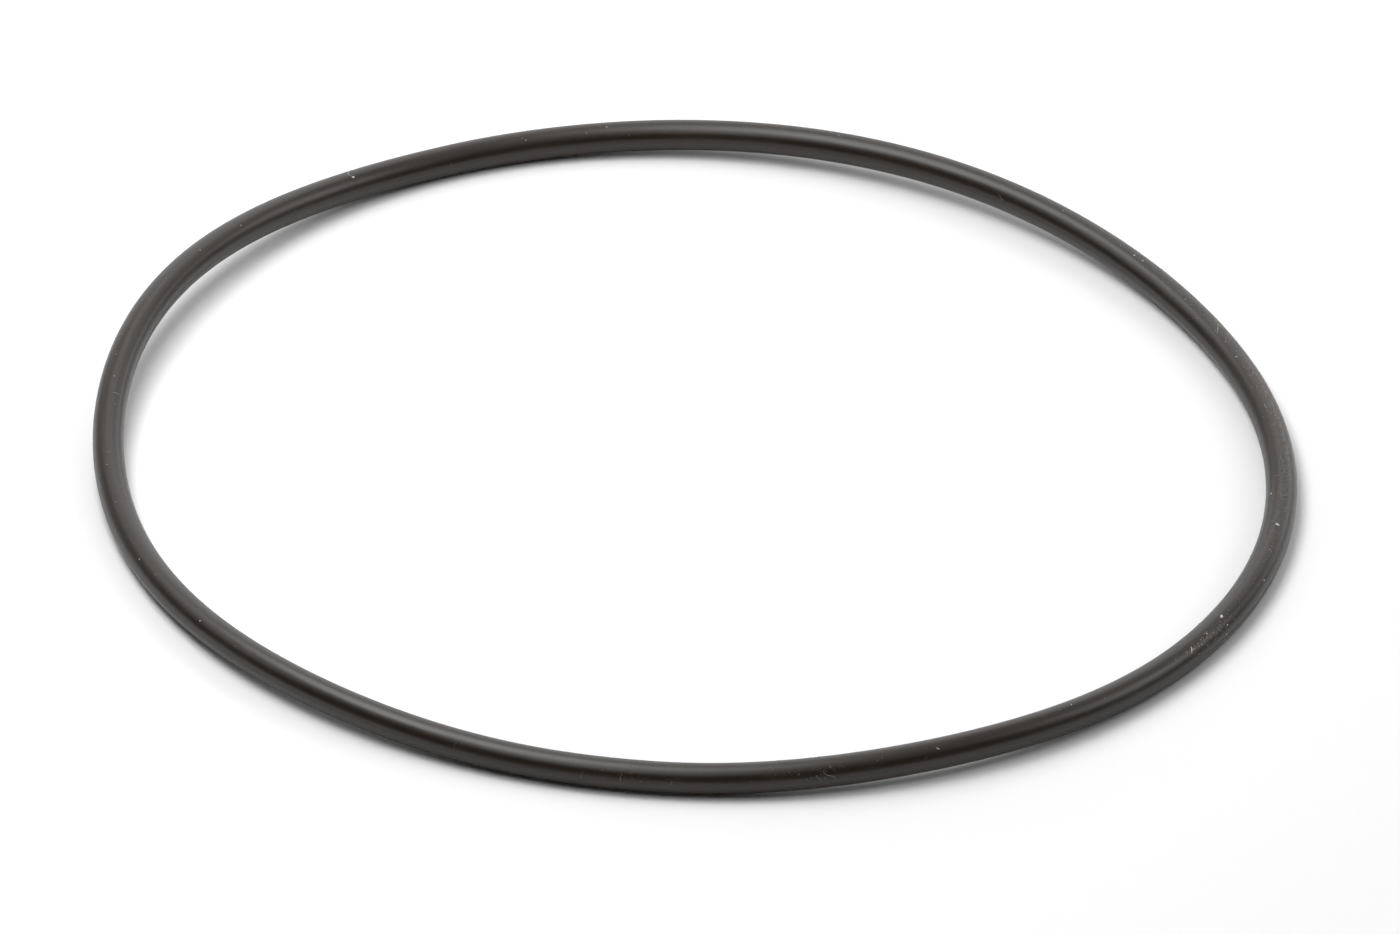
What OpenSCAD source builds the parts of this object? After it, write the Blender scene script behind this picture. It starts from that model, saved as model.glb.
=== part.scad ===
// Rubber o-ring of round section, lying free on a flat surface.
// A free ring relaxes a little out of round, and arches off the surface between the stretches that touch it.
// +Z is up, and the surface that it lies on is Z = 0. Angles run anticlockwise from +X, seen from above.

/* [Ring as moulded] */
// Inside diameter of the ring before it relaxes
inside_diameter = 129.77; // [60:0.01:200]
// Diameter of the round section
section_diameter = 3.53; // [1.78:0.01:6.99]

/* [Parting line] */
// Height of the trimmed parting line above the section, on the inside and the outside of the ring
parting_line_height = 0.03; // [0.01:0.01:0.2]
// Width of the parting line at its foot
parting_line_width = 0.24; // [0.1:0.01:0.6]

/* [Out of round] */
// How far the ends of the long axis stand outside the mean circle
oval_depth = 2.15; // [0:0.01:6]
// Direction of the long axis
oval_angle = 135; // [0:1:180]
// How far the tips of the three soft corners stand outside the oval
corner_depth = 0.6; // [0:0.01:2]
// Direction of the first soft corner
corner_angle = 95; // [0:1:120]

/* [Left arch] */
// Height of the arch off the surface
left_arch_rise = 2.7; // [0:0.05:8]
// Direction of its top
left_arch_angle = 155.5; // [140:0.5:170]
// Angle that it spans
left_arch_span = 84; // [40:1:88]

/* [Back arch] */
// Height of the arch off the surface
back_arch_rise = 1.2; // [0:0.05:8]
// Direction of its top
back_arch_angle = 63; // [50:1:70]
// Angle that it spans
back_arch_span = 96; // [40:1:100]

/* [Right front arch] */
// Height of the arch off the surface
right_arch_rise = 0.7; // [0:0.05:8]
// Direction of its top
right_arch_angle = 295; // [285:1:310]
// Angle that it spans
right_arch_span = 57; // [30:1:80]

/* [Left front arch] */
// Height of the arch off the surface
front_arch_rise = 0.5; // [0:0.05:8]
// Direction of its top
front_arch_angle = 228; // [220:1:236]
// Angle that it spans
front_arch_span = 58; // [30:1:66]

/* [Smoothness] */
// Sections around the loop
loop_steps = 144; // [72:12:180]
// Sides of the round section
section_sides = 24; // [16:4:32]

/* [Hidden] */

section_radius = section_diameter / 2;
moulded_radius = (inside_diameter + section_diameter) / 2;
moulded_length = 2 * PI * moulded_radius;

// Height above the surface along one arch: a raised cosine that is flat at the top and at both feet.
function arch(angle, rise, middle, span) =
    let (away = abs((angle - middle + 540) % 360 - 180))
    away < span / 2 ? rise * (1 + cos(360 * away / span)) / 2 : 0;

function lift(angle) =
    arch(angle, left_arch_rise, left_arch_angle, left_arch_span)
    + arch(angle, back_arch_rise, back_arch_angle, back_arch_span)
    + arch(angle, right_arch_rise, right_arch_angle, right_arch_span)
    + arch(angle, front_arch_rise, front_arch_angle, front_arch_span);

// How far the relaxed loop stands outside its mean circle.
function out_of_round(angle) =
    oval_depth * cos(2 * (angle - oval_angle)) + corner_depth * cos(3 * (angle - corner_angle));

// A point of the loop's centreline, for a given radius of the mean circle.
function loop_point(angle, mean_radius) =
    let (radius = mean_radius + out_of_round(angle))
    [radius * cos(angle), radius * sin(angle), section_radius + lift(angle)];

function total(values) = values * [for (v = values) 1];

function loop_length(points) =
    total([for (i = [0:len(points) - 1]) norm(points[(i + 1) % len(points)] - points[i])]);

// Relaxing bends the ring and doesn't stretch it, so the mean circle shrinks until the loop is as long as it was moulded.
angles = [for (i = [0:loop_steps - 1]) 360 * i / loop_steps];
stretched_length = loop_length([for (a = angles) loop_point(a, moulded_radius)]);
polygon_length = 2 * loop_steps * moulded_radius * sin(180 / loop_steps);
mean_radius = moulded_radius * polygon_length / stretched_length;
loop = [for (a = angles) loop_point(a, mean_radius)];

// The section as points [outwards, upwards]: a circle with the parting line as a low ridge on its outside and inside.
ridge_half_angle = asin(parting_line_width / 2 / section_radius);
function round_point(angle) = section_radius * [cos(angle), sin(angle)];
function ridge(angle) = [
    round_point(angle - ridge_half_angle),
    (section_radius + parting_line_height) * [cos(angle), sin(angle)],
    round_point(angle + ridge_half_angle),
];
// The points of the round between the feet of one ridge and the next.
function half_circle(start) =
    let (first = start + ridge_half_angle, sweep = 180 - 2 * ridge_half_angle, sides = section_sides / 2)
    [for (i = [1:sides - 1]) round_point(first + sweep * i / sides)];
section = concat(ridge(0), half_circle(0), ridge(180), half_circle(180));

// The section stands square to the loop, with its outward direction kept level.
function section_at(i) =
    let (
        n = len(loop),
        along = loop[(i + 1) % n] - loop[(i + n - 1) % n],
        ahead = along / norm(along),
        level = cross(ahead, [0, 0, 1]),
        outward = level / norm(level),
        upward = cross(outward, ahead)
    )
    [for (p = section) loop[i] + p[0] * outward + p[1] * upward];

rings = [for (i = [0:loop_steps - 1]) section_at(i)];

// The middle of the loop's outline, so that the ring lies centred on the origin.
function middle(values) = (min(values) + max(values)) / 2;
centre = [
    middle([for (ring = rings, p = ring) p[0]]),
    middle([for (ring = rings, p = ring) p[1]]),
    0,
];

// Joins a closed row of equal rings of points into a solid loop.
module closed_sweep(rings) {
    sides = len(rings[0]);
    steps = len(rings);
    function corner(step, side) = (step % steps) * sides + side % sides;
    polyhedron(
        points = [for (ring = rings, p = ring) p],
        faces = [
            for (i = [0:steps - 1], j = [0:sides - 1])
                [corner(i, j), corner(i, j + 1), corner(i + 1, j + 1), corner(i + 1, j)]
        ],
        convexity = 4
    );
}

module o_ring() {
    color([0.11, 0.105, 0.1])
        translate(-centre)
            closed_sweep(rings);
}

o_ring();
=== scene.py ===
import math
import random

import bmesh
import bpy
import numpy as np
from mathutils import Matrix, Vector


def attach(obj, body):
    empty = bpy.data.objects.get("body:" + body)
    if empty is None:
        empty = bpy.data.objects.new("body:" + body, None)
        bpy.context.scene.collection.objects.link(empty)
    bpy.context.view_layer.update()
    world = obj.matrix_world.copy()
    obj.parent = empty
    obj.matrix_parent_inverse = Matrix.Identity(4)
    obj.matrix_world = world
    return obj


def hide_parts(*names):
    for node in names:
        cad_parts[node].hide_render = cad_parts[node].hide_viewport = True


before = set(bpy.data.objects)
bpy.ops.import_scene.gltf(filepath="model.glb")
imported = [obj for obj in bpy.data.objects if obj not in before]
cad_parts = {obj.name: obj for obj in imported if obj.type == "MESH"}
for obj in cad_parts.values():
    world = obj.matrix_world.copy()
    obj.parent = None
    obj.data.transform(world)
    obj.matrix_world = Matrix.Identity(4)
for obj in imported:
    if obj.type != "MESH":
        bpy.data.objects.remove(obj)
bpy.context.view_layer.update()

# The rubber o-ring as it lies in the photo: a smooth ring on the loop of the CAD ring, with its parting
# line, a satin rubber finish, and the dust and lint that lie on it. Lengths are in metres and angles in
# degrees, unless a comment says otherwise.
# A place on the ring is given by two angles: the loop angle, round the loop from +X, and the section angle,
# round the section from its outer side, over the crown at 90, to the inner side at 180.

MM = 0.001

# The middle that the loop is drawn round. It lies a little off the frame's origin, which is under the middle
# of the ring's box.
LOOP_MIDDLE = Vector((-0.2613, -0.5973, 1.765)) * MM

# The photo's view: its size in pixels, the pixel where it shows the loop's middle, how long a pixel is
# there, and where the camera stands
PHOTO_SIZE = (1400, 934)
LOOP_MIDDLE_PIXEL = (692.0, 455.4)
PIXEL = 0.11375 * MM
CAMERA_ELEVATION = 33.2
CAMERA_DISTANCE = 3.0
SENSOR_WIDTH_MM = 36
SIGHT_RANGE = 100

# Where the CAD ring's corners leave a gap wider than this round the loop, the next section begins
SECTION_GAP = 1.0

# The ring's mesh: steps round the loop, steps round each half of the section between the parting lines, and
# the places of the corners beside a parting line
LOOP_STEPS = 1152
ROUND_STEPS = 24
RIDGE_STEPS = (0.7, 1.4, 2.2, 3.2, 4.5, 6.0, 8.0)

# The parting line: a low ridge with a fine crease in its middle. The spreads are round the section.
RIDGE_HEIGHT = 0.03 * MM
RIDGE_SPREAD = 4.0
CREASE_DEPTH = 0.08 * MM
CREASE_SPREAD = 2.0
CREASE_FAINTEST = 0.15

# The stretches where the crease shows clearly in the photo: loop angle and spread round the loop
CREASE_STRETCHES = ((165, 32), (335, 18))

# Patches of dust: loop angle, section angle, spread round the loop, spread round the section, and how dusty
DUST_PATCHES = (
    (352, 78, 16, 22, 0.75),
    (8, 74, 14, 20, 1.0),
    (26, 76, 14, 18, 0.7),
    (44, 74, 12, 14, 0.5),
    (326, 50, 4, 22, 0.95),
    (161, 66, 6, 14, 0.7),
    (282, 34, 5, 18, 0.5),
    (265, 24, 6, 18, 0.35),
)

# Specks that stand out in the photo: loop angle, section angle, length and width in mm, turn, paleness
SPECKS = (
    (345.6, 79, 0.74, 0.46, 60, 1.0),
    (329, 72, 0.62, 0.44, 30, 1.0),
    (351.4, 130, 0.45, 0.26, 20, 0.8),
    (328.8, 35, 0.30, 0.22, 0, 0.7),
    (328.2, 9, 0.42, 0.26, 80, 0.4),
    (326, 62, 0.34, 0.24, 0, 0.5),
    (337, 36, 0.30, 0.24, 0, 0.8),
    (308, 81, 0.23, 0.18, 0, 0.7),
    (213.4, 50, 0.26, 0.20, 40, 0.8),
    (200.6, 49, 0.26, 0.20, 0, 0.7),
    (190.7, 72, 0.30, 0.16, 70, 0.6),
    (184.5, 74, 0.32, 0.15, 50, 0.5),
    (170.5, 91, 0.26, 0.20, 0, 0.6),
    (167, 75, 0.22, 0.18, 0, 0.6),
    (147, 107, 0.19, 0.15, 0, 0.5),
    (140.5, 117, 0.19, 0.15, 0, 0.6),
    (125.3, 113, 0.46, 0.24, 0, 0.9),
    (106.6, 124, 0.22, 0.16, 90, 0.6),
    (98.4, 105, 0.26, 0.20, 20, 0.9),
    (75, 94, 0.22, 0.16, 0, 0.6),
    (48, 94, 0.22, 0.16, 0, 0.6),
    (39.5, 92, 0.19, 0.16, 0, 0.6),
    (37.2, 94, 0.30, 0.22, 40, 1.0),
    (35.9, 91, 0.28, 0.20, 10, 0.9),
    (27.8, 100, 0.24, 0.18, 0, 0.5),
    (24.4, 121, 0.24, 0.18, 0, 0.5),
    (21.4, 100, 0.24, 0.18, 0, 0.5),
    (16.1, 99, 0.36, 0.26, 60, 0.7),
    (9.2, 72, 0.30, 0.20, 30, 0.7),
    (5, 70, 0.27, 0.22, 0, 0.6),
)

# Lint and fine scratches: thickness in mm, paleness, then loop and section angles along it
LINT = (
    (0.075, 0.45, (125.05, 58), (125.15, 68), (125.44, 87), (125.56, 98), (125.36, 104), (125.2, 110)),
    (0.083, 0.6, (22.6, 64), (21.9, 80), (21.2, 94), (20.7, 106)),
    (0.060, 0.3, (55.6, 148), (55.2, 158), (55.0, 166)),
    (0.12, 0.7, (293.45, 58), (293.6, 54), (293.75, 50)),
    (0.16, 0.8, (323.4, 62), (323.2, 52), (322.9, 42)),
    (0.060, 0.22, (283.6, 4), (283.4, 14), (282.8, 22), (282.5, 34), (282.7, 44)),
    (0.060, 0.18, (282.4, 0), (282.0, 12), (281.8, 26)),
    (0.075, 0.3, (283.2, 47), (283.2, 56)),
    (0.060, 0.18, (263.3, 2), (263.2, 20), (263.4, 38)),
    (0.060, 0.12, (268.3, 2), (268.1, 14), (268.2, 28)),
    (0.075, 0.35, (267.4, 96), (267.7, 110), (267.5, 122)),
    (0.053, 0.12, (259.5, -6), (259.4, 8), (259.5, 22)),
    (0.053, 0.12, (246.5, 20), (246.4, 34), (246.6, 46)),
    (0.053, 0.4, (173.2, 94), (173.0, 106), (173.1, 122)),
    (0.053, 0.3, (182.4, 78), (182.7, 92)),
    (0.053, 0.3, (354.4, 82), (354.2, 104), (354.6, 128)),
    (0.053, 0.4, (106.1, 56), (106.0, 64)),
    (0.053, 0.4, (100.6, 116), (100.4, 132)),
)

# Fine loose dust. Most of its grains lie in the patches, over this share of a patch's own spread. The stray
# ones lie anywhere round the loop, at about the crown.
DUST_SEED = 7
DUST_COUNT = 1300
DUST_PATCH_SHARE = 0.8
DUST_SPREAD = 0.7
DUST_SIZE = (0.06 * MM, 0.15 * MM)
DUST_LENGTH = (1, 1.8)
DUST_PALENESS = (0.15, 0.60)
CROWN = 90
STRAY_SPREAD = 45
STRAY_PALENESS = 0.35

# How much of the loose dust each patch has, by its area and by how dusty it is
PATCH_AMOUNTS = [loop_spread * spread * dusty for _, _, loop_spread, spread, dusty in DUST_PATCHES]

# How uneven and how high a crumb is, as shares of its size
CRUMB_UNEVEN = (0.75, 1.2)
CRUMB_HEIGHT = 0.4

# How thick a hair of lint is at its ends, as a share of its middle, how many sides it has, and in how many
# steps it goes from one place of its route to the next
HAIR_END = 0.35
HAIR_SIDES = 6
HAIR_STEPS = 5


def make_camera():
    """A long lens on the photo's line of sight, which looks along +Y and down."""
    elevation = math.radians(CAMERA_ELEVATION)
    back = Vector((0, -math.cos(elevation), math.sin(elevation)))
    right = Vector((1, 0, 0))
    up = back.cross(right)
    off_right = (PHOTO_SIZE[0] / 2 - LOOP_MIDDLE_PIXEL[0]) * PIXEL
    off_up = (LOOP_MIDDLE_PIXEL[1] - PHOTO_SIZE[1] / 2) * PIXEL
    target = LOOP_MIDDLE + right * off_right + up * off_up
    data = bpy.data.cameras.new("camera")
    data.sensor_width = SENSOR_WIDTH_MM
    data.lens = data.sensor_width * CAMERA_DISTANCE / (PHOTO_SIZE[0] * PIXEL)
    data.clip_end = SIGHT_RANGE
    camera = bpy.data.objects.new("camera", data)
    camera.location = target + back * CAMERA_DISTANCE
    camera.rotation_euler = (math.radians(90 - CAMERA_ELEVATION), 0, 0)
    bpy.context.scene.collection.objects.link(camera)
    bpy.context.scene.camera = camera


def loop_from_frame(node):
    """The middle of each section of the CAD ring, in order round the loop, from the node's own corners."""
    corners = np.array([corner.co for corner in node.data.vertices])
    corners = np.unique(np.round(corners, 7), axis=0)
    azimuth = np.degrees(np.arctan2(corners[:, 1], corners[:, 0])) % 360
    order = np.argsort(azimuth)
    gaps = np.flatnonzero(np.diff(azimuth[order]) > SECTION_GAP) + 1
    groups = np.split(order, gaps)
    # A section that lies across +X is at both ends of the order
    if azimuth[order[0]] + 360 - azimuth[order[-1]] < SECTION_GAP:
        groups[0] = np.concatenate([groups.pop(), groups[0]])
    return np.array([corners[group].mean(0) for group in groups])


def smooth_closed(points, steps):
    """More points on the smooth closed curve through these evenly spaced ones."""
    waves = np.fft.rfft(points, axis=0)
    more = np.zeros((steps // 2 + 1, points.shape[1]), complex)
    more[:len(waves)] = waves
    return np.fft.irfft(more, steps, axis=0) * steps / len(points)


MIDDLES = loop_from_frame(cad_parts["o_ring"])
SECTION_RADIUS = MIDDLES[:, 2].min()
LOOP = smooth_closed(MIDDLES, LOOP_STEPS)
LOOP_ANGLE = np.degrees(np.arctan2(LOOP[:, 1] - LOOP_MIDDLE.y, LOOP[:, 0] - LOOP_MIDDLE.x)) % 360


def directions():
    """Unit vectors at each station of the loop: along it, level outwards, and square to both."""
    along = np.roll(LOOP, -1, 0) - np.roll(LOOP, 1, 0)
    along /= np.linalg.norm(along, axis=1)[:, None]
    outward = np.cross(along, (0, 0, 1))
    outward /= np.linalg.norm(outward, axis=1)[:, None]
    return along, outward, np.cross(outward, along)


ALONG, OUTWARD, UPWARD = directions()


def section_angles():
    """Angles round the section: close together over each parting ridge, even between them."""
    side = np.array(RIDGE_STEPS)
    ridge = np.concatenate([-side[::-1], [0], side])
    rounded = np.linspace(side[-1], 180 - side[-1], ROUND_STEPS + 1)[1:-1]
    return np.concatenate([ridge, rounded, ridge + 180, rounded + 180])


def turned(angle, start):
    """How far an angle is past another one, from -180 to 180."""
    return (angle - start + 180) % 360 - 180


def profile(loop_angle, angle):
    """The section's radius at a place: round, with a low ridge and a fine crease at each parting line."""
    away = (angle + 90) % 180 - 90
    ridge = RIDGE_HEIGHT * np.exp(-(away / RIDGE_SPREAD) ** 2)
    clear = np.full_like(loop_angle, CREASE_FAINTEST)
    for middle, spread in CREASE_STRETCHES:
        clear = np.maximum(clear, np.exp(-(turned(loop_angle, middle) / spread) ** 2))
    crease = CREASE_DEPTH * clear * np.exp(-(away / CREASE_SPREAD) ** 2)
    return SECTION_RADIUS + ridge - crease


def surface(station, angle, radius):
    """Points at these section angles of these stations, this far from the middle of the section."""
    turn = np.radians(angle)
    across = np.cos(turn)[..., None] * OUTWARD[station] + np.sin(turn)[..., None] * UPWARD[station]
    return LOOP[station] + radius[..., None] * across


def dustiness(loop_angle, angle):
    """How dusty the rubber is at a place, from 0 to 1."""
    most = np.zeros(np.broadcast(loop_angle, angle).shape)
    for loop_middle, middle, loop_spread, spread, dusty in DUST_PATCHES:
        along = turned(loop_angle, loop_middle) / loop_spread
        round_it = turned(angle, middle) / spread
        most = np.maximum(most, dusty * np.exp(-along ** 2 - round_it ** 2))
    return most


# The grain that runs along the ring. Its noise is read on two circles, one for the way round the section
# and one for the way round the loop, so that it closes on itself. Round the section it has this many cells
# for each metre. Round the loop its circle is this many cells in radius.
STREAK_FINENESS = 3600
STREAK_LOOP_RADIUS = 7.0


def add_attribute(mesh, name, kind, values):
    """Keeps a value for each corner of the mesh, for its material to read."""
    attribute = mesh.attributes.new(name, kind, "POINT")
    field = "vector" if kind == "FLOAT_VECTOR" else "value"
    attribute.data.foreach_set(field, np.ascontiguousarray(values, dtype=np.float32).ravel())


def make_ring():
    """The swept ring, with what its material needs to know about each place on it."""
    angles = section_angles()
    sides = len(angles)
    station, side = np.meshgrid(np.arange(LOOP_STEPS), np.arange(sides), indexing="ij")
    loop_angle, angle = LOOP_ANGLE[station], angles[side]
    points = surface(station, angle, profile(loop_angle, angle))
    ahead, beside = (station + 1) % LOOP_STEPS, (side + 1) % sides
    corners = (station, side), (ahead, side), (ahead, beside), (station, beside)
    faces = np.stack([a * sides + b for a, b in corners], -1)
    mesh = bpy.data.meshes.new("ring")
    mesh.from_pydata(points.reshape(-1, 3).tolist(), [], faces.reshape(-1, 4).tolist())
    mesh.polygons.foreach_set("use_smooth", [True] * len(mesh.polygons))
    turn, section = np.radians(loop_angle), np.radians(angle)
    radius = SECTION_RADIUS * STREAK_FINENESS
    streak = [radius * np.cos(section), radius * np.sin(section), STREAK_LOOP_RADIUS * np.cos(turn)]
    add_attribute(mesh, "streak", "FLOAT_VECTOR", np.stack(streak, -1))
    add_attribute(mesh, "streak_turn", "FLOAT", STREAK_LOOP_RADIUS * np.sin(turn))
    add_attribute(mesh, "dust", "FLOAT", dustiness(loop_angle, angle))
    mesh.update()
    ring = bpy.data.objects.new("ring", mesh)
    bpy.context.scene.collection.objects.link(ring)
    return ring


def on_ring(loop_angle, angle):
    """A place on the rubber, and the directions there: along the loop, round the section, and outwards."""
    away = turned(LOOP_ANGLE, loop_angle)
    station = int(np.argmin(np.abs(away)))
    turn = math.radians(angle)
    normal = math.cos(turn) * OUTWARD[station] + math.sin(turn) * UPWARD[station]
    place = LOOP[station] + normal * SECTION_RADIUS
    # The rest of the way to the loop angle, from the nearest station
    slide = math.radians(-away[station]) * np.linalg.norm(LOOP[station][:2])
    place = place + ALONG[station] * slide
    along = Vector(ALONG[station])
    out = Vector(normal)
    return Vector(place), along, out.cross(along), out


def add_crumb(mesh, tones, place, length, width, turn, paleness, draw):
    """One flat crumb of dust, half sunk in the surface, with an uneven outline."""
    point, along, round_it, out = place
    rotation = Matrix.Rotation(math.radians(turn), 3, out)
    axes = Matrix((rotation @ along, rotation @ round_it, out)).transposed().to_4x4()
    made = bmesh.ops.create_icosphere(mesh, subdivisions=1, radius=1.0)
    for corner in made["verts"]:
        uneven = draw.uniform(*CRUMB_UNEVEN)
        size = Vector((length / 2, width / 2, CRUMB_HEIGHT * min(length, width))) * uneven
        corner.co = axes @ (corner.co * size) + point
        corner[tones] = paleness


def add_hair(mesh, tones, thickness, paleness, route):
    """A hair of lint along a route on the surface, thinner towards its ends."""
    stations = []
    for (loop_a, angle_a), (loop_b, angle_b) in zip(route[:-1], route[1:]):
        for step in range(HAIR_STEPS):
            share = step / HAIR_STEPS
            loop_angle, angle = loop_a + (loop_b - loop_a) * share, angle_a + (angle_b - angle_a) * share
            stations.append(on_ring(loop_angle, angle))
    stations.append(on_ring(*route[-1]))
    rings = []
    last = len(stations) - 1
    for number, (point, _, _, out) in enumerate(stations):
        before, after = stations[max(number - 1, 0)][0], stations[min(number + 1, last)][0]
        sideways = (after - before).cross(out).normalized()
        taper = HAIR_END + (1 - HAIR_END) * math.sin(math.pi * number / last)
        radius = thickness / 2 * taper
        ring = []
        for side in range(HAIR_SIDES):
            turn = math.tau * side / HAIR_SIDES
            corner = mesh.verts.new(point + radius * (math.cos(turn) * sideways + math.sin(turn) * out))
            corner[tones] = paleness
            ring.append(corner)
        rings.append(ring)
    for ring, ahead in zip(rings[:-1], rings[1:]):
        for side in range(HAIR_SIDES):
            beside = (side + 1) % HAIR_SIDES
            mesh.faces.new((ring[side], ring[beside], ahead[beside], ahead[side]))
    mesh.faces.new(rings[0][::-1])
    mesh.faces.new(rings[-1])


def loose_dust_place(draw):
    """A random place for a grain of dust, mostly in the dusty patches, and how pale the dust is there."""
    if draw.random() < DUST_PATCH_SHARE:
        loop_middle, middle, loop_spread, spread, dusty = draw.choices(DUST_PATCHES, PATCH_AMOUNTS)[0]
        loop_angle = draw.gauss(loop_middle, DUST_SPREAD * loop_spread) % 360
        return loop_angle, draw.gauss(middle, DUST_SPREAD * spread), dusty ** 2
    return draw.uniform(0, 360), draw.gauss(CROWN, STRAY_SPREAD), STRAY_PALENESS


def make_dust():
    """The specks that the photo shows, and fine loose dust between them."""
    draw = random.Random(DUST_SEED)
    mesh = bmesh.new()
    tones = mesh.verts.layers.float.new("paleness")
    for loop_angle, angle, length, width, turn, paleness in SPECKS:
        place = on_ring(loop_angle, angle)
        add_crumb(mesh, tones, place, length * MM, width * MM, turn, paleness, draw)
    for _ in range(DUST_COUNT):
        loop_angle, angle, palest = loose_dust_place(draw)
        width = draw.uniform(*DUST_SIZE)
        place = on_ring(loop_angle, angle)
        paleness = palest * draw.uniform(*DUST_PALENESS)
        length = width * draw.uniform(*DUST_LENGTH)
        add_crumb(mesh, tones, place, length, width, draw.uniform(0, 180), paleness, draw)
    return finish_mesh(mesh, "dust")


def make_lint():
    """Hairs of lint and fine scratches, as raised lines on the rubber."""
    mesh = bmesh.new()
    tones = mesh.verts.layers.float.new("paleness")
    for thickness, paleness, *route in LINT:
        add_hair(mesh, tones, thickness * MM, paleness, route)
    return finish_mesh(mesh, "lint")


def finish_mesh(mesh, name):
    """Turns the mesh into a smooth-shaded object."""
    bmesh.ops.recalc_face_normals(mesh, faces=mesh.faces)
    for face in mesh.faces:
        face.smooth = True
    data = bpy.data.meshes.new(name)
    mesh.to_mesh(data)
    mesh.free()
    made = bpy.data.objects.new(name, data)
    bpy.context.scene.collection.objects.link(made)
    return made


class Graph:
    """Adds shader nodes to a material or world and joins them up."""

    def __init__(self, owner):
        owner.use_nodes = True
        self.tree = owner.node_tree
        self.nodes = self.tree.nodes

    def add(self, kind, values=None, **settings):
        """A new node with these settings, and with a value or a link for each named input."""
        node = self.nodes.new(kind)
        for name, value in settings.items():
            setattr(node, name, value)
        for socket, value in (values or {}).items():
            self.put(node.inputs[socket], value)
        return node

    def put(self, socket, value):
        """Links the socket to another one, or sets its value."""
        if isinstance(value, bpy.types.NodeSocket):
            self.tree.links.new(value, socket)
        else:
            socket.default_value = value

    def math(self, operation, a, b=0.0, c=0.0):
        """The result of one operation. For MULTIPLY_ADD it is a * b + c."""
        return self.add("ShaderNodeMath", {0: a, 1: b, 2: c}, operation=operation).outputs[0]

    def noise(self, vector, scale, detail=2.0, roughness=0.5, **more):
        """Smooth noise around 0.5."""
        values = {"Vector": vector, "Scale": scale, "Detail": detail, "Roughness": roughness}
        values.update(more.pop("values", {}))
        return self.add("ShaderNodeTexNoise", values, **more).outputs["Fac"]

    def ramp(self, value, low, high, to_low=0.0, to_high=1.0):
        """Goes straight from to_low to to_high as the value goes from low to high, and is level beyond."""
        values = {"Value": value, "From Min": low, "From Max": high, "To Min": to_low, "To Max": to_high}
        return self.add("ShaderNodeMapRange", values).outputs["Result"]

    def mix(self, factor, a, b):
        """The first colour where the factor is 0, and the second where it is 1."""
        node = self.add("ShaderNodeMix", data_type="RGBA")
        self.put(node.inputs["Factor"], factor)
        self.put(node.inputs["A"], a)
        self.put(node.inputs["B"], b)
        return node.outputs["Result"]

    def attribute(self, name, output="Fac"):
        """A value that the mesh keeps for each corner."""
        return self.add("ShaderNodeAttribute", attribute_name=name).outputs[output]

    def background_rays(self):
        """1 for the rays that should see the plain white background, 0 for the rest."""
        path = self.add("ShaderNodeLightPath").outputs
        seen = self.math("MAXIMUM", path["Is Camera Ray"], path["Is Glossy Ray"])
        return self.math("MAXIMUM", seen, path["Is Transmission Ray"])


def grey(level):
    """A grey as a colour."""
    return (level, level, level, 1)


# Rubber. The fineness of its patterns is in cells for each metre, and their heights are in mm.
RUBBER_BLACK = (0.0135, 0.0082, 0.0048, 1)
RUBBER_WORN = (0.0210, 0.0144, 0.0100, 1)
RUBBER_IOR = 1.52
DUST_BROWN = (0.260, 0.205, 0.155, 1)
RUBBER_ROUGHNESS = (0.33, 0.40)
DUSTY_ROUGHNESS = 0.75
CLOUD_FINENESS = 180
WAVE_FINENESS = 700
GRAIN_FINENESS = 2600
PORE_FINENESS = 3800
STREAK_HEIGHT = 0.0026
GRAIN_HEIGHT = 0.0024
WAVE_HEIGHT = 0.020
DUSTY_HEIGHT = 0.010

# How much streaks and clouds add to the wear, the range of wear over which tone and roughness change, and
# the range of the clouds over which the film of dust thickens
WEAR_OF_STREAKS = 0.5
WEAR_OF_CLOUDS = 0.6
WEAR_RANGE = (0.35, 0.80)
FILM_RANGE = (0.35, 0.7)
FILM_THICKNESS = (0.01, 0.06)

# Dust fills the pores whose noise is over the first level, or over the second one where dust is thickest.
# Pores that far over it are full, and this much of a full pore looks brown.
PORE_LEVELS = (0.76, 0.52)
PORE_EDGE = 0.09
PORE_COVER = 0.65


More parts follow.
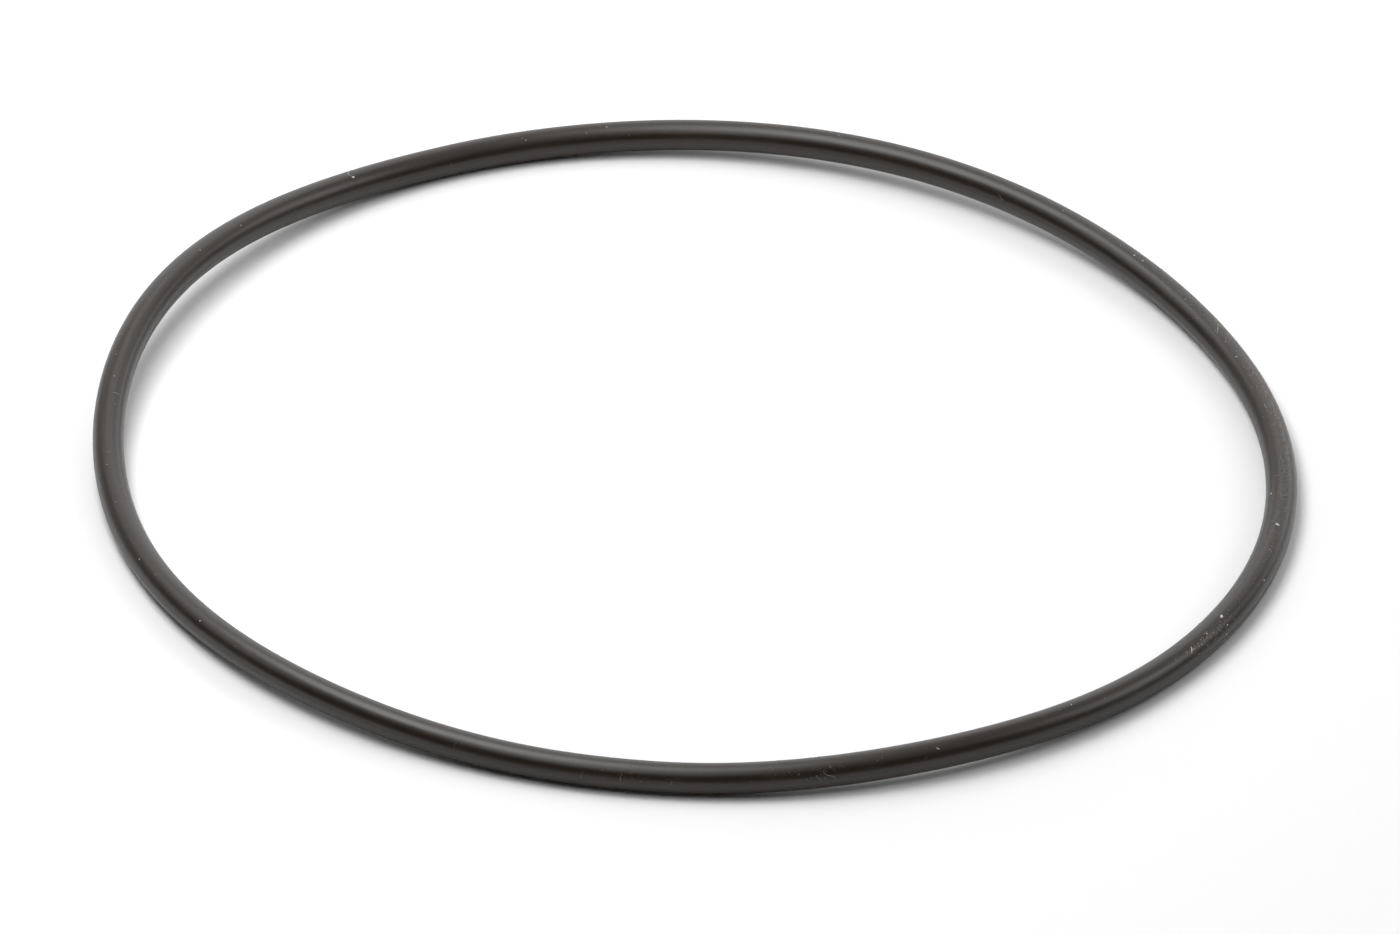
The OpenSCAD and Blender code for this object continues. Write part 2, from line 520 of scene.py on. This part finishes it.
def rubber():
    """Satin black rubber: cloudy, with a fine grain along the ring, and brown dust caught in its pores."""
    material = bpy.data.materials.new("rubber")
    graph = Graph(material)
    shader = graph.nodes["Principled BSDF"]
    where = graph.add("ShaderNodeTexCoord").outputs["Object"]
    cloud = graph.noise(where, CLOUD_FINENESS, detail=4, roughness=0.6)
    grain = graph.noise(where, GRAIN_FINENESS, detail=3, roughness=0.6)
    wave = graph.noise(where, WAVE_FINENESS, detail=2)
    pores = graph.noise(where, PORE_FINENESS, detail=4, roughness=0.7)
    streak = graph.noise(
        graph.attribute("streak", "Vector"), 1.0, detail=3, roughness=0.65,
        noise_dimensions="4D", values={"W": graph.attribute("streak_turn")})
    dust = graph.attribute("dust")
    level = graph.math("MULTIPLY_ADD", dust, PORE_LEVELS[1] - PORE_LEVELS[0], PORE_LEVELS[0])
    caught = graph.ramp(graph.math("SUBTRACT", pores, level), 0.0, PORE_EDGE)
    film = graph.math("MULTIPLY", dust, graph.ramp(cloud, *FILM_RANGE, *FILM_THICKNESS))
    dusty = graph.math("MAXIMUM", graph.math("MULTIPLY", caught, PORE_COVER), film)
    cloudy = graph.math("MULTIPLY", cloud, WEAR_OF_CLOUDS)
    worn = graph.math("MULTIPLY_ADD", streak, WEAR_OF_STREAKS, cloudy)
    colour = graph.mix(graph.ramp(worn, *WEAR_RANGE), RUBBER_BLACK, RUBBER_WORN)
    graph.put(shader.inputs["Base Color"], graph.mix(dusty, colour, DUST_BROWN))
    satin = graph.ramp(worn, *WEAR_RANGE, *RUBBER_ROUGHNESS)
    rough = graph.math("MULTIPLY_ADD", dusty, DUSTY_ROUGHNESS - RUBBER_ROUGHNESS[0], satin)
    graph.put(shader.inputs["Roughness"], rough)
    shader.inputs["IOR"].default_value = RUBBER_IOR
    height = graph.math("MULTIPLY_ADD", streak, STREAK_HEIGHT, graph.math("MULTIPLY", grain, GRAIN_HEIGHT))
    height = graph.math("MULTIPLY_ADD", wave, WAVE_HEIGHT, height)
    height = graph.math("MULTIPLY_ADD", dusty, DUSTY_HEIGHT, height)
    bump = graph.add("ShaderNodeBump", {"Strength": 1.0, "Distance": MM, "Height": height})
    graph.put(shader.inputs["Normal"], bump.outputs["Normal"])
    return material


# Dust and lint. The fineness of the mottles is in cells for each metre.
CRUMB_BROWN = (0.070, 0.056, 0.042, 1)
CRUMB_PALE = (0.640, 0.620, 0.580, 1)
DUST_ROUGHNESS = 0.9
LINT_ROUGHNESS = 0.7
MOTTLE_FINENESS = 9000
MOTTLE_RANGE = (0.3, 0.7)
MOTTLE_TONE = (0.8, 1.1)
MOTTLE_HEIGHT = 0.02 * MM
MOTTLE_STRENGTH = 0.6


def crumbs(name, roughness):
    """Matt dust or lint, from brown to pale by the paleness of each piece, with a mottled surface."""
    material = bpy.data.materials.new(name)
    graph = Graph(material)
    shader = graph.nodes["Principled BSDF"]
    where = graph.add("ShaderNodeTexCoord").outputs["Object"]
    mottle = graph.noise(where, MOTTLE_FINENESS, detail=3)
    mottled = graph.ramp(mottle, *MOTTLE_RANGE, *MOTTLE_TONE)
    tone = graph.math("MULTIPLY", graph.attribute("paleness"), mottled)
    graph.put(shader.inputs["Base Color"], graph.mix(tone, CRUMB_BROWN, CRUMB_PALE))
    shader.inputs["Roughness"].default_value = roughness
    values = {"Strength": MOTTLE_STRENGTH, "Distance": MOTTLE_HEIGHT, "Height": mottle}
    bump = graph.add("ShaderNodeBump", values)
    graph.put(shader.inputs["Normal"], bump.outputs["Normal"])
    return material


def dress(piece, material):
    """Gives a piece its material, and the body that it goes with."""
    piece.data.materials.append(material)
    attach(piece, "root")


# The floor: its size, its white for the light that it passes on, its white as it is seen, and how far from
# the origin it begins and ends to turn plain white
FLOOR_SIZE = 40.0
FLOOR_WHITE = grey(0.86)
FLOOR_SEEN = grey(0.92)
FLOOR_FADE = (0.10, 0.25)

# Lamps and studio walls
LAMP_HEIGHT = 0.55
PANEL_DISTANCE = 1.5
WALL_DISTANCE = 4.0
WALL_FOOT = -0.1
WALL_DARK = grey(0.02)


def stage_mesh(name, corners, faces):
    """A piece of the studio, which isn't part of the object."""
    mesh = bpy.data.meshes.new(name)
    mesh.from_pydata(corners, [], faces)
    made = bpy.data.objects.new(name, mesh)
    bpy.context.scene.collection.objects.link(made)
    return made


def make_floor():
    """A matt white floor that keeps the ring's shadow, and is plain white further off."""
    half = FLOOR_SIZE / 2
    corners = [(-half, -half, 0), (half, -half, 0), (half, half, 0), (-half, half, 0)]
    floor = stage_mesh("floor", corners, [(0, 1, 2, 3)])
    material = bpy.data.materials.new("floor")
    graph = Graph(material)
    seen = graph.background_rays()
    shader = graph.nodes["Principled BSDF"]
    shader.inputs["Roughness"].default_value = 1.0
    shader.inputs["Specular IOR Level"].default_value = 0.0
    graph.put(shader.inputs["Base Color"], graph.mix(seen, FLOOR_WHITE, FLOOR_SEEN))
    white = graph.add("ShaderNodeEmission", {"Color": grey(1.0), "Strength": 1.0})
    where = graph.add("ShaderNodeTexCoord").outputs["Object"]
    off = graph.add("ShaderNodeVectorMath", {0: where}, operation="LENGTH").outputs["Value"]
    far = graph.math("MULTIPLY", seen, graph.ramp(off, *FLOOR_FADE))
    both = graph.add("ShaderNodeMixShader", {0: far, 1: shader.outputs[0], 2: white.outputs[0]})
    graph.put(graph.nodes["Material Output"].inputs["Surface"], both.outputs[0])
    floor.data.materials.append(material)


def make_walls():
    """Dark studio walls out of the camera's sight: the photo shows no light from them in the rubber."""
    ends = (-WALL_DISTANCE, WALL_DISTANCE)
    corners = [(x, y, z) for z in (WALL_FOOT, WALL_DISTANCE) for y in ends for x in ends]
    faces = [(0, 1, 5, 4), (1, 3, 7, 5), (3, 2, 6, 7), (2, 0, 4, 6), (4, 5, 7, 6)]
    walls = stage_mesh("walls", corners, faces)
    walls.visible_camera = False
    material = bpy.data.materials.new("walls")
    graph = Graph(material)
    shader = graph.nodes["Principled BSDF"]
    shader.inputs["Base Color"].default_value = WALL_DARK
    shader.inputs["Roughness"].default_value = 1.0
    walls.data.materials.append(material)


def add_lamp(name, place, aim, size, radiance, shape="RECTANGLE", mirrored=True):
    """A flat lamp out of the camera's sight, with this radiance all over, where 1 is plain white."""
    data = bpy.data.lights.new(name, "AREA")
    data.shape = shape
    data.size, data.size_y = size
    area = size[0] * size[1] * (math.pi / 4 if shape == "ELLIPSE" else 1)
    data.energy = radiance * math.pi * area
    lamp = bpy.data.objects.new(name, data)
    lamp.location = place
    lamp.rotation_euler = (Vector(aim) - Vector(place)).to_track_quat("-Z", "Y").to_euler()
    lamp.visible_camera = False
    lamp.visible_glossy = mirrored
    bpy.context.scene.collection.objects.link(lamp)


def overhead(name, middle, size, radiance, shape="RECTANGLE", above=0.0):
    """A level lamp over the ring, around this middle in X and Y.

    Lamps that overlap are at heights of their own, because a ray meets only one lamp at any height.
    """
    add_lamp(name, (*middle, LAMP_HEIGHT + above), (*middle, 0), size, radiance, shape)


def panel(name, azimuths, elevations, radiance, mirrored=True):
    """An upright panel that fills these azimuths and elevations, as seen from the origin."""
    azimuth = math.radians(sum(azimuths) / 2)
    width = 2 * PANEL_DISTANCE * math.tan(math.radians(azimuths[1] - azimuths[0]) / 2)
    low, high = (PANEL_DISTANCE * math.tan(math.radians(elevation)) for elevation in elevations)
    x, y = PANEL_DISTANCE * math.cos(azimuth), PANEL_DISTANCE * math.sin(azimuth)
    z = (low + high) / 2
    add_lamp(name, (x, y, z), (0, 0, z), (width, high - low), radiance, mirrored=mirrored)


def make_lights():
    """A soft main light above and to the left, a dim ceiling, and panels at the back and the sides.

    Their reflections lie on the rubber where the photo's do. The low panel at the front isn't mirrored, and
    only lights the lower side of the ring.
    """
    overhead("softbox_core", (-0.28, 0.035), (0.24, 0.22), 1.9, "ELLIPSE")
    overhead("softbox", (-0.195, 0.055), (0.46, 0.32), 2.1, "ELLIPSE", above=0.01)
    overhead("softbox_spread", (-0.18, 0.04), (0.34, 1.05), 2.6, "ELLIPSE", above=0.02)
    overhead("softbox_back", (-0.28, 0.32), (0.28, 0.50), 1.7, "ELLIPSE", above=0.025)
    overhead("ceiling", (0.275, 0.20), (0.55, 1.30), 0.45, above=0.03)
    overhead("ceiling_right", (0.53, 0.20), (0.10, 0.80), 0.9, above=0.04)
    overhead("ceiling_back", (0.03, 0.75), (0.31, 0.30), 1.9, above=0.05)
    panel("back_right", (30, 75), (6, 18), 2.4)
    panel("back", (75, 120), (6, 18), 2.1)
    panel("back_left", (120, 150), (6, 18), 0.7)
    panel("back_above", (48, 105), (18, 36), 1.0)
    panel("back_high", (45, 80), (36, 46), 0.8)
    panel("right", (-15, 24), (16, 30), 0.9)
    panel("right_above", (-14, 24), (28, 46), 3.2)
    panel("left_above", (120, 180), (32, 45), 1.7)
    panel("front", (-120, -60), (3, 14), 1.0, mirrored=False)


def make_world():
    """White where it is seen, and as dark as the walls for all other rays."""
    world = bpy.data.worlds.new("world")
    bpy.context.scene.world = world
    graph = Graph(world)
    background = graph.nodes["Background"]
    graph.put(background.inputs["Color"], graph.mix(graph.background_rays(), WALL_DARK, grey(1.0)))


make_camera()
ring = make_ring()
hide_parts("o_ring")
dress(ring, rubber())
dress(make_dust(), crumbs("dust", DUST_ROUGHNESS))
dress(make_lint(), crumbs("lint", LINT_ROUGHNESS))
make_floor()
make_walls()
make_lights()
make_world()
bpy.context.scene.view_settings.view_transform = "Standard"
